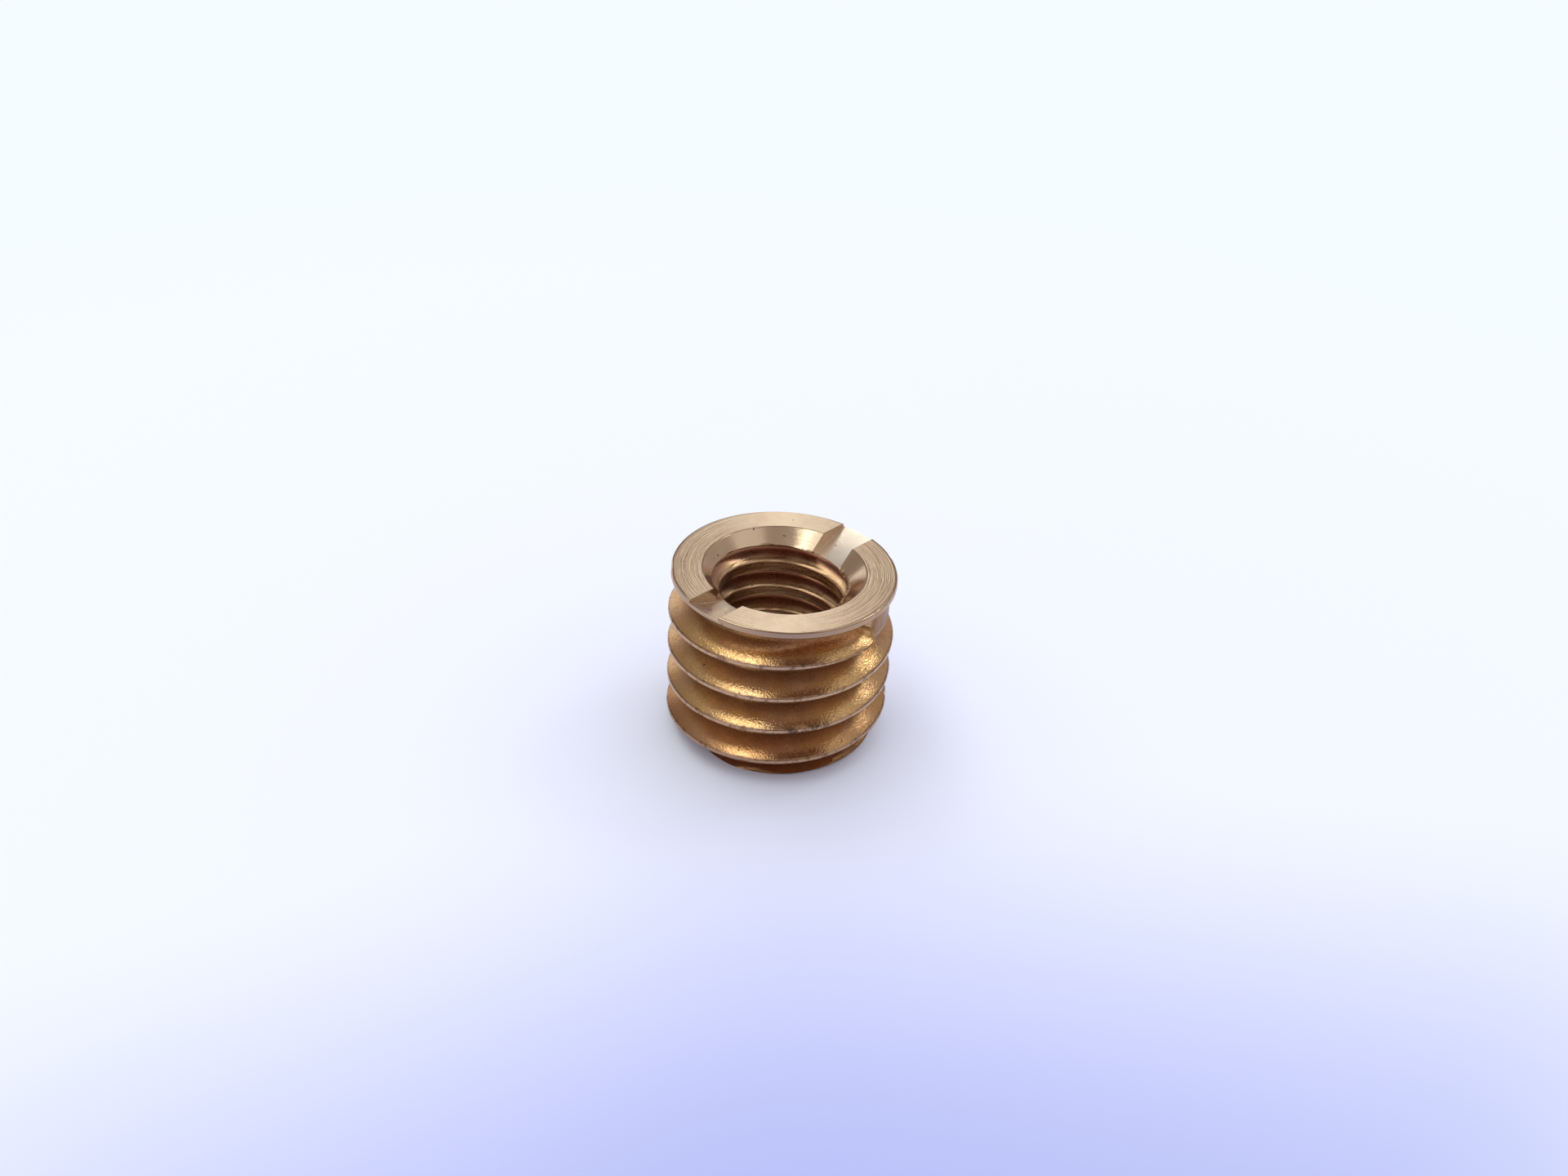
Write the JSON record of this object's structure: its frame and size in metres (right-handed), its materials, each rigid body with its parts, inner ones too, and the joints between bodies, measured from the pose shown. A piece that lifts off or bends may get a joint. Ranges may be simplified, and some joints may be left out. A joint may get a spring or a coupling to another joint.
{
  "type": "threaded reducer bushing",
  "caption": "Short brass reducer bushing, coarse thread outside, finer thread inside, countersunk mouth and driver slot at the rimmed end.",
  "frame": {"origin": "centre of the flat end, on the thread axis", "axes": "+Z along the thread axis towards the slotted end, X along the driver slot"},
  "size_m": [0.0096, 0.0096, 0.0076],
  "materials": {
    "brass": "as machined, slightly tarnished"
  },
  "bodies": {
    "root": {"reducer_bushing": "brass"}
  },
  "joints": []
}
